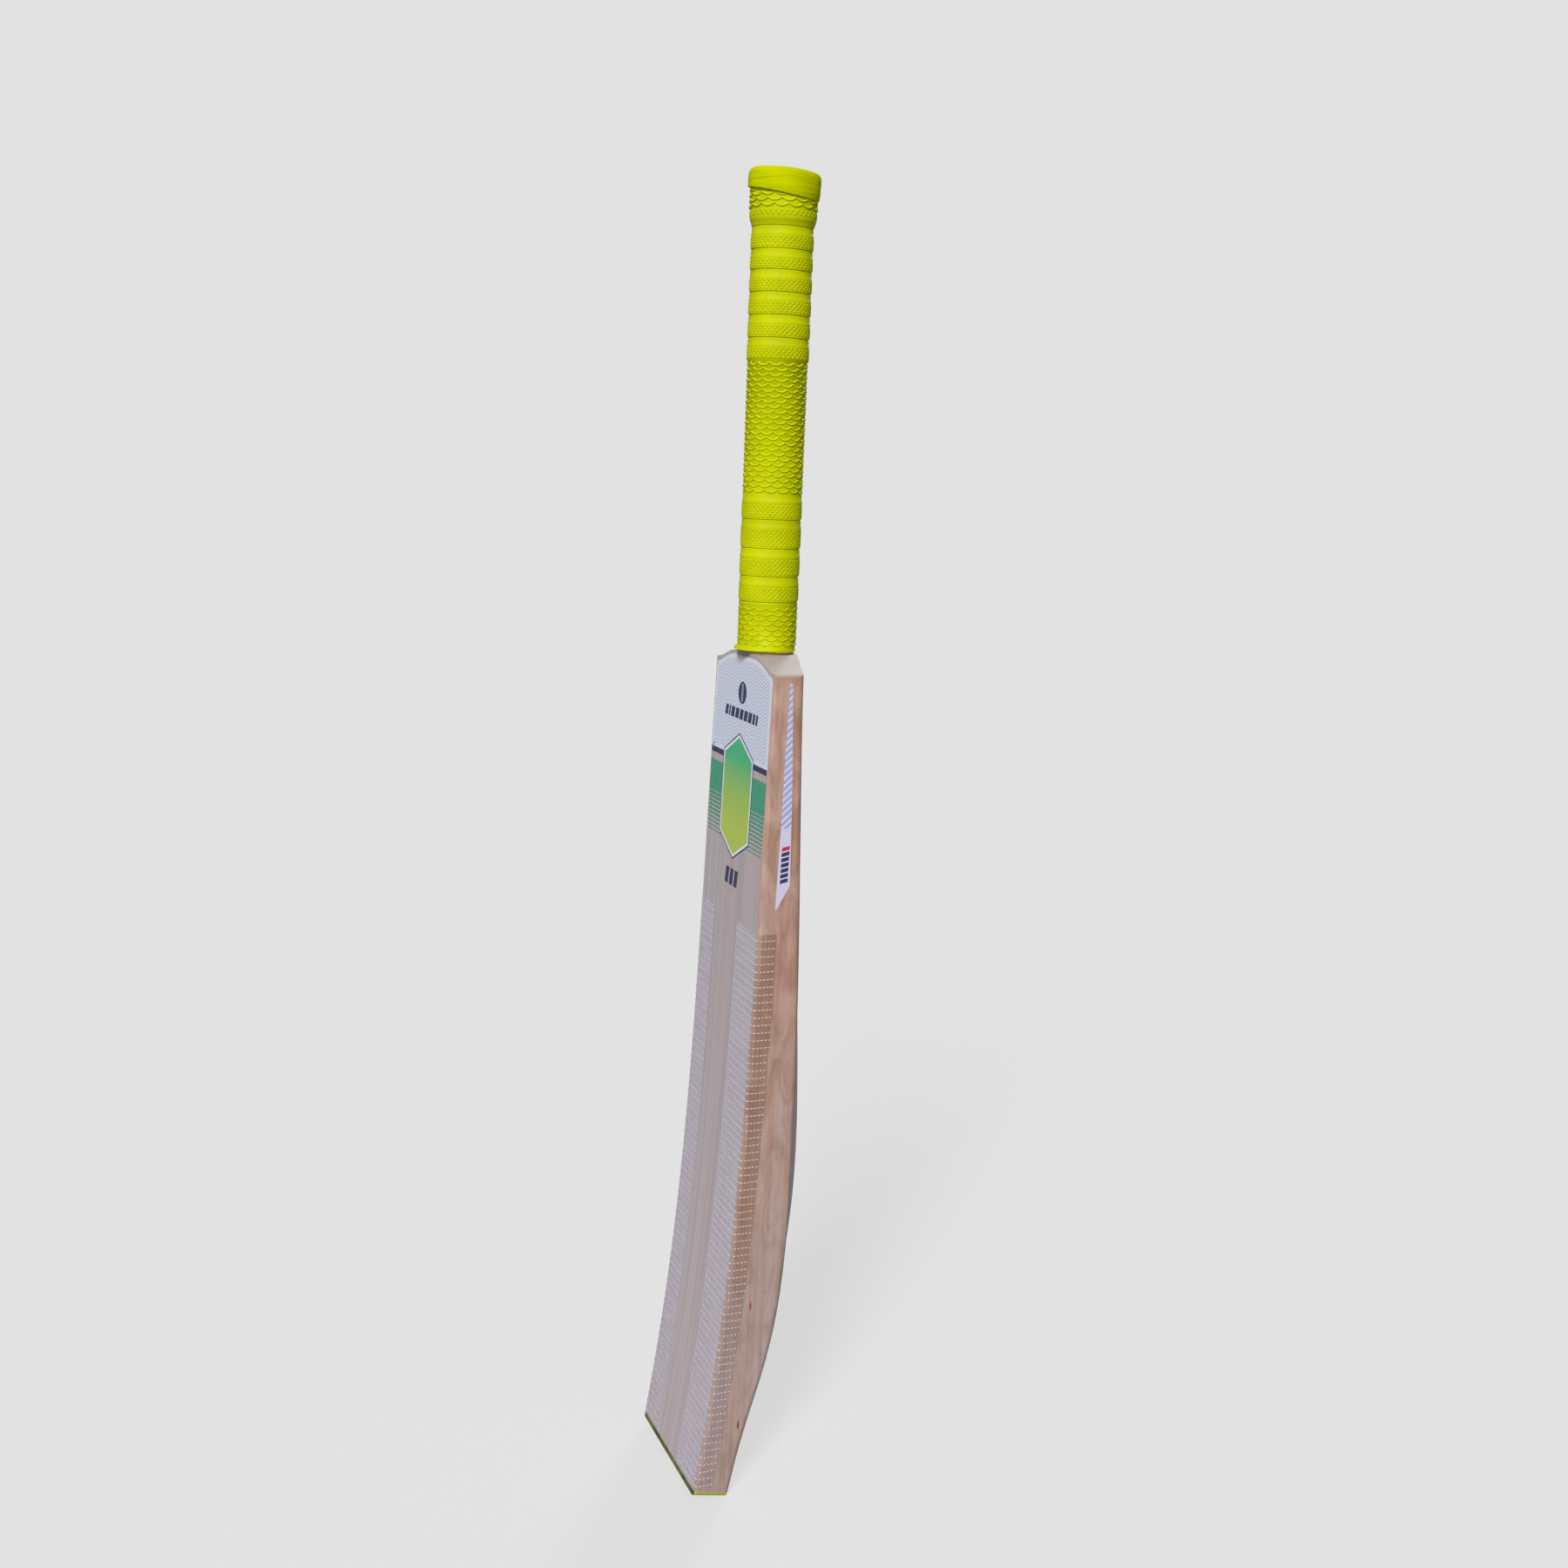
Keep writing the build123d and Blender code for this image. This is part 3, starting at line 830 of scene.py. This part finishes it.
def buildFilm(name, side):
    # the clear film is the tape's outer skin, taken from the frame
    film = copyOf(cad[name])
    select(film)
    named(name + "_film")
    bpy.ops.object.mode_set(mode="EDIT")
    bpy.ops.mesh.select_all(action="SELECT")
    bpy.ops.mesh.remove_doubles(threshold=0.002 * mm)
    bpy.ops.mesh.select_mode(type="FACE")
    bpy.ops.mesh.select_all(action="DESELECT")
    cage = bmesh.from_edit_mesh(film.data)
    for face in cage.faces:
        if face.normal.y - side * face.normal.x > 0.3:
            face.select_set(True)
    bmesh.update_edit_mesh(film.data)
    bpy.ops.mesh.delete(type="FACE")
    bpy.ops.object.mode_set(mode="OBJECT")
    return film


def buildCrossThread(xStart, xCorner, onSide, side):
    # one bold thread: across the face, round the corner and back along the edge
    s = tapeSettings
    radius = s["cornerRadius"] * mm
    clearSelection()
    bpy.ops.mesh.primitive_circle_add(vertices=6, radius=1.0, fill_type="NGON", location=(xStart, 0, 0),
                                      rotation=(0, math.radians(90), 0))
    thread = settle(named("crossThread"))
    bpy.ops.object.mode_set(mode="EDIT")
    bpy.ops.mesh.select_mode(type="FACE")
    bpy.ops.mesh.select_all(action="SELECT")
    bpy.ops.transform.resize(value=(1, s["threadHeight"] / 2 * mm, s["threadWidth"] / 2 * mm),
                             center_override=(xStart, 0, 0))
    turnX = xCorner - side * radius
    bpy.ops.mesh.extrude_region_move(TRANSFORM_OT_translate={"value": (turnX - xStart, 0, 0)})
    bpy.ops.mesh.spin(steps=5, angle=-math.radians(90) * side, center=(turnX, radius, 0), axis=(0, 0, 1))
    bpy.ops.mesh.extrude_region_move(TRANSFORM_OT_translate={"value": (0, onSide - radius, 0)})
    bpy.ops.mesh.select_all(action="SELECT")
    bpy.ops.mesh.normals_make_consistent(inside=False)
    bpy.ops.object.mode_set(mode="OBJECT")
    return thread


def buildFineThread(spots):
    # one fine thread, pulled up the blade through the given spots
    clearSelection()
    bpy.ops.mesh.primitive_circle_add(vertices=4, radius=tapeSettings["fineWidth"] / 2 * mm, fill_type="NGON",
                                      location=spots[0])
    thread = settle(named("fineThread"))
    bpy.ops.object.mode_set(mode="EDIT")
    bpy.ops.mesh.select_mode(type="FACE")
    bpy.ops.mesh.select_all(action="SELECT")
    for before, after in zip(spots, spots[1:]):
        bpy.ops.mesh.extrude_region_move(TRANSFORM_OT_translate={"value": tuple(after - before)})
    bpy.ops.mesh.select_all(action="SELECT")
    bpy.ops.mesh.normals_make_consistent(inside=False)
    bpy.ops.object.mode_set(mode="OBJECT")
    return thread


def buildTape(name, side, onSide):
    s = tapeSettings
    low, high = (Vector(corner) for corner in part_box(name))
    outer = high.x if side > 0 else low.x
    inner = low.x if side > 0 else high.x
    lift = s["lift"] * mm
    readX = side * s["readAcross"] * mm
    film = buildFilm(name, side)
    finished(film, clearFilm, [name])

    bold = buildCrossThread(inner, outer, onSide * mm, side)
    copies = []
    height = low.z + s["firstThread"] * mm
    while height < high.z:
        spot = Vector((edgeX(height, side) + side * lift - outer, surfaceY(readX, height) - lift, height))
        copies.append(copyOf(bold, Matrix.Translation(spot)))
        height += s["threadPitch"] * mm
    bpy.data.objects.remove(bold)
    threads = settle(joined(name + "_threads", copies))
    smoothShade(threads, 50)
    finished(threads, threadWhite)

    levels = [low.z + (high.z - low.z) * i / s["fineSteps"] for i in range(s["fineSteps"] + 1)]
    levels[0] += s["endGap"] * mm
    levels[-1] -= s["endGap"] * mm
    fine = []
    alongFace = buildFineThread([Vector((0, surfaceY(readX, z) - lift, z)) for z in levels])
    across = abs(outer - inner) / mm - s["cornerRadius"]
    for i in range(int(across / s["finePitch"])):
        start = inner + side * (i + 0.4) * s["finePitch"] * mm
        fine.append(copyOf(alongFace, Matrix.Translation((start, 0, 0))))
    bpy.data.objects.remove(alongFace)
    alongSide = buildFineThread([Vector((edgeX(z, side) + side * lift, surfaceY(0, z), z)) for z in levels])
    for i in range(int((onSide - s["cornerRadius"]) / s["finePitch"]) + 1):
        depth = s["cornerRadius"] + i * s["finePitch"]
        fine.append(copyOf(alongSide, Matrix.Translation((0, depth * mm, 0))))
    bpy.data.objects.remove(alongSide)
    fineThreads = settle(joined(name + "_fine", fine))
    finished(fineThreads, threadFine)
    print(name, len(threads.data.polygons), len(fineThreads.data.polygons))


buildTape("face_tape_right", 1, tapeSettings["rightOnSide"])
buildTape("face_tape_left", -1, tapeSettings["leftOnSide"])

# printed labels

labelSettings = {
    "groundBottom": 488.3,
    "border": 2.6,
    "lift": 0.035,  # each layer of print above the one under it
    "mark": ((0, 504.0), (-27, 490.0), (-27, 435.0), (0, 421.0), (27, 435.0), (27, 490.0)),
    "markOutline": 0.9,
    "markBorder": 1.9,
    "barLow": 484.7,
    "barHigh": 488.3,
    "blockLow": 459.0,
    "blockHigh": 479.7,
    "blockInner": 8.0,
    "blockOuter": 49.6,
    "stripeGap": 0.9,  # under the block
    "stripePitch": 2.8,
    "stripeBottom": 431.0,
    "stripeThin": 0.5,  # the lowest stripe
    "stripeGain": 1.3,  # what the highest has over it
    "ballHeight": 530.0,
    "ballRadius": 7.2,
    "ballPoints": 24,
    "seamAcross": 0.9,  # each seam, out from the ball's middle
    "seamWidth": 0.6,
    "seamReach": 5.8,
    "dashLow": 512.7,
    "dashHigh": 519.4,
    "dashLean": 1.4,
    "dashes": ((-29, 5), (-22.4, 2.4), (-18.4, 6), (-10.6, 6), (-3, 6), (4.6, 6), (12.2, 6),
               (19.8, 4), (25.4, 3)),  # start and width
    "tallyLow": 403.7,
    "tallyHigh": 414.7,
    "tallyWidth": 5.6,
    "tallyLean": 1.6,
    "tally": (-11.5, -3.6, 4.3),
}


def layOn(piece, node, axis, lift):
    # drops the flat print on to the frame's surface
    piece.select_set(False)
    settings = {"wrap_method": "PROJECT", "wrap_mode": "ABOVE_SURFACE", "target": cad[node], "offset": lift,
                "use_negative_direction": True, "use_positive_direction": True}
    settings["use_project_" + axis] = True
    applied(piece, "SHRINKWRAP", settings)


def onFace(x, z):
    return (x * mm, 0, z * mm)


def faceOut(piece, direction):
    # turns the print over if its face looks into the wood
    if piece.data.polygons[0].normal.dot(Vector(direction)) < 0:
        piece.data.flip_normals()


def facePrint(name, corners, material, layer):
    piece = flatShape(name, corners, onFace)
    faceOut(piece, (0, -1, 0))
    layOn(piece, "face_label", "y", labelSettings["lift"] * layer * mm)
    finished(piece, material, ["face_label"])
    return piece


def buildGround():
    # the label's ground keeps the frame's outline above the bars, with a paler border round it
    s = labelSettings
    ground = copyOf(cad["face_label"])
    select(ground)
    named("labelGround")
    bpy.ops.object.mode_set(mode="EDIT")
    bpy.ops.mesh.select_mode(type="FACE")
    bpy.ops.mesh.select_all(action="SELECT")
    bpy.ops.mesh.remove_doubles(threshold=0.002 * mm)
    bpy.ops.mesh.bisect(plane_co=(0, 0, s["groundBottom"] * mm), plane_no=(0, 0, 1), clear_inner=True)
    bpy.ops.mesh.select_all(action="SELECT")
    bpy.ops.mesh.bisect(plane_co=(0, 0, s["groundBottom"] * mm), plane_no=(0, 0, 1), use_fill=True)
    cage = bmesh.from_edit_mesh(ground.data)
    bpy.ops.mesh.select_all(action="DESELECT")
    for face in cage.faces:
        if face.normal.y < -0.8:
            face.select_set(True)
    bmesh.update_edit_mesh(ground.data)
    bpy.ops.mesh.inset(thickness=s["border"] * mm, use_boundary=True)
    bpy.ops.object.mode_set(mode="OBJECT")
    bpy.ops.mesh.customdata_custom_splitnormals_clear()
    smoothShade(ground, 30)
    ground.data.materials.clear()
    ground.data.materials.append(vinylBorder)
    ground.data.materials.append(vinylGround)
    for face in ground.data.polygons:
        face.material_index = 1 if face.select else 0
    finished(ground, nodes=["face_label"])


def buildMark():
    # a tall six-sided badge: navy line, white line, green field, each inset from the last
    s = labelSettings
    mark = flatShape("labelBadge", s["mark"], onFace)
    faceOut(mark, (0, -1, 0))
    mark.data.materials.append(vinylNavy)
    mark.data.materials.append(vinylWhite)
    mark.data.materials.append(vinylGradient)
    select(mark)
    bpy.ops.object.mode_set(mode="EDIT")
    bpy.ops.mesh.select_mode(type="FACE")
    bpy.ops.mesh.select_all(action="SELECT")
    for layer, thickness in ((1, s["markOutline"]), (2, s["markBorder"])):
        bpy.ops.mesh.inset(thickness=thickness * mm)
        mark.active_material_index = layer
        bpy.ops.object.material_slot_assign()
    bpy.ops.object.mode_set(mode="OBJECT")
    layOn(mark, "face_label", "y", s["lift"] * 3 * mm)
    finished(mark, nodes=["face_label"])


def slantBar(name, start, width, low, high, lean, material, layer):
    corners = ((start, low), (start + width, low), (start + width + lean, high), (start + lean, high))
    facePrint(name, corners, material, layer)


def buildSidePrints(side):
    s = labelSettings
    inner = s["blockInner"] * side
    width = s["blockOuter"] * side - inner
    word = "Right" if side > 0 else "Left"

    slantBar("labelBar" + word, inner, width, s["barLow"], s["barHigh"], 0, vinylNavy, 2)
    slantBar("labelBlock" + word, inner, width, s["blockLow"], s["blockHigh"], 0, vinylGreen, 2)
    level = s["blockLow"] - s["stripeGap"]
    count = 1
    while level > s["stripeBottom"]:
        share = (level - s["stripeBottom"]) / (s["blockLow"] - s["stripeBottom"])
        thickness = s["stripeThin"] + s["stripeGain"] * share
        name = "labelStripe" + str(count) + word
        slantBar(name, inner, width, level - thickness, level, 0, vinylGreen, 2)
        level -= s["stripePitch"]
        count += 1


def buildBall():
    # a plain ball with its seam
    s = labelSettings
    middle, radius, reach = s["ballHeight"], s["ballRadius"], s["seamReach"]
    turns = [2 * math.pi * i / s["ballPoints"] for i in range(s["ballPoints"])]
    rim = [(radius * math.cos(turn), middle + radius * math.sin(turn)) for turn in turns]
    facePrint("labelBall", rim, vinylNavy, 2)
    for name, across in (("labelSeamLeft", -s["seamAcross"]), ("labelSeamRight", s["seamAcross"])):
        start = across - s["seamWidth"] / 2
        slantBar(name, start, s["seamWidth"], middle - reach, middle + reach, 0, vinylWhite, 3)


def buildDashes():
    s = labelSettings
    for i, (start, width) in enumerate(s["dashes"]):
        name = "labelDash" + str(i + 1)
        slantBar(name, start, width, s["dashLow"], s["dashHigh"], s["dashLean"], vinylNavy, 2)
    for i, start in enumerate(s["tally"]):
        name = "labelTally" + str(i + 1)
        slantBar(name, start, s["tallyWidth"], s["tallyLow"], s["tallyHigh"], s["tallyLean"], vinylNavy, 1)


edgeMarks = {
    "top": 439.4,
    "pitch": 3.45,
    "count": 7,
    "height": 2.5,
    "depth": 12.0,  # behind the face
    "across": 5.2,
    "lean": 1.2,
    "beside": 60.0,  # the dash is made here, out from the middle, and then laid on the edge
    "readAcross": 45.0,  # where the face is read, out from the middle
}


def buildEdgeMarks(side):
    # a row of slanted dashes down the edge label: the first is red, the rest navy
    s = edgeMarks
    word = "right" if side > 0 else "left"

    def onEdge(depth, z):
        front = surfaceY(side * s["readAcross"] * mm, z * mm)
        return (side * s["beside"] * mm, front + depth * mm, z * mm)

    for i in range(s["count"]):
        top = s["top"] - i * s["pitch"]
        low = top - s["height"]
        near, far = s["depth"], s["depth"] + s["across"]
        corners = ((near, low), (far, low + s["lean"]), (far, top + s["lean"]), (near, top))
        dash = flatShape("edgeDash" + word.title() + str(i + 1), corners, onEdge)
        faceOut(dash, (side, 0, 0))
        layOn(dash, "edge_label_" + word, "x", labelSettings["lift"] * mm)
        finished(dash, vinylNavy if i else vinylRed)


buildGround()
buildMark()
for side in (1, -1):
    buildEdgeMarks(side)
for side in (1, -1):
    buildSidePrints(side)
buildBall()
buildDashes()
print("face label")

# floor, light and camera

studio = {
    "backdrop": "e2e2e2",
    "airStrength": 0.2,  # of the backdrop's light, as it falls on the bat
    "floorGlow": 0.8,  # the floor is a light table, so shadows on it stay faint
    "softness": 16,  # degrees across each lamp, as seen from the bat
    # strength, azimuth and height in degrees
    "lamps": (("keyLight", 3.2, -36, 38), ("backLight", 1.8, 140, 25)),
    "floorDrop": 0.2,  # of the floor below the bat, in mm
    "cameraPlace": (1.04121, -0.37765, 0.67580),
    "cameraRight": (0.37664, 0.92545, 0.04102),
    "cameraUp": (-0.18202, 0.03052, 0.98282),
    "lens": 40.22,
}


def buildAir():
    # the backdrop looks brighter than the light that it throws on the bat
    world = bpy.data.worlds.new("studioAir")
    world.use_nodes = True
    tree = world.node_tree
    air = tree.nodes["Background"]
    air.inputs["Color"].default_value = hexColour(studio["backdrop"])
    seen = addNode(tree, "ShaderNodeLightPath")
    strength = addNode(tree, "ShaderNodeMapRange", values={"To Min": studio["airStrength"], "To Max": 1.0},
                       links={"Value": seen.outputs["Is Camera Ray"]})
    tree.links.new(strength.outputs["Result"], air.inputs["Strength"])
    bpy.context.scene.world = world
    bpy.context.scene.view_settings.view_transform = "Standard"


def buildLamps():
    # returns the light that they throw on level ground
    level = 0.0
    for name, strength, azimuth, height in studio["lamps"]:
        across, up = math.radians(azimuth), math.radians(height)
        aim = Vector((math.cos(across) * math.cos(up), math.sin(across) * math.cos(up), math.sin(up)))
        bpy.ops.object.light_add(type="SUN", location=aim * 2)
        lamp = bpy.context.active_object
        lamp.name = name
        lamp.data.energy = strength
        lamp.data.angle = math.radians(studio["softness"])
        lamp.rotation_euler = (-aim).to_track_quat("-Z", "Y").to_euler()
        level += strength * math.sin(up) / math.pi
    return level


def buildFloor(level):
    # what the lamps and the air add to the glow brings the floor to the backdrop's grey
    clearSelection()
    bpy.ops.mesh.primitive_plane_add(size=60, location=(0, 0, cadBox[0][2] - studio["floorDrop"] * mm))
    floor = settle(named("floor"))
    colour = hexColour(studio["backdrop"])
    glow = studio["floorGlow"]
    tone = (1 - glow) * colour[0] / (level + studio["airStrength"] * colour[0])
    values = {"Base Color": (tone, tone, tone, 1), "Roughness": 1.0, "Specular IOR Level": 0.0,
              "Emission Color": colour}
    material, tree, surface, place = newMaterial("lightTable", values)
    seen = addNode(tree, "ShaderNodeLightPath")
    strength = addNode(tree, "ShaderNodeMapRange",
                       values={"To Min": studio["airStrength"] * glow, "To Max": glow},
                       links={"Value": seen.outputs["Is Camera Ray"]})
    tree.links.new(strength.outputs["Result"], surface.inputs["Emission Strength"])
    floor.data.materials.append(material)


def buildCamera():
    right = Vector(studio["cameraRight"]).normalized()
    back = right.cross(Vector(studio["cameraUp"])).normalized()
    up = back.cross(right)
    turn = Matrix((right, up, back)).transposed().to_4x4()
    data = bpy.data.cameras.new("studioCamera")
    data.lens = studio["lens"]
    data.sensor_width = 36.0
    camera = bpy.data.objects.new("studioCamera", data)
    camera.matrix_world = Matrix.Translation(studio["cameraPlace"]) @ turn
    bpy.context.collection.objects.link(camera)
    bpy.context.scene.camera = camera


buildAir()
buildFloor(buildLamps())
buildCamera()
print("studio")
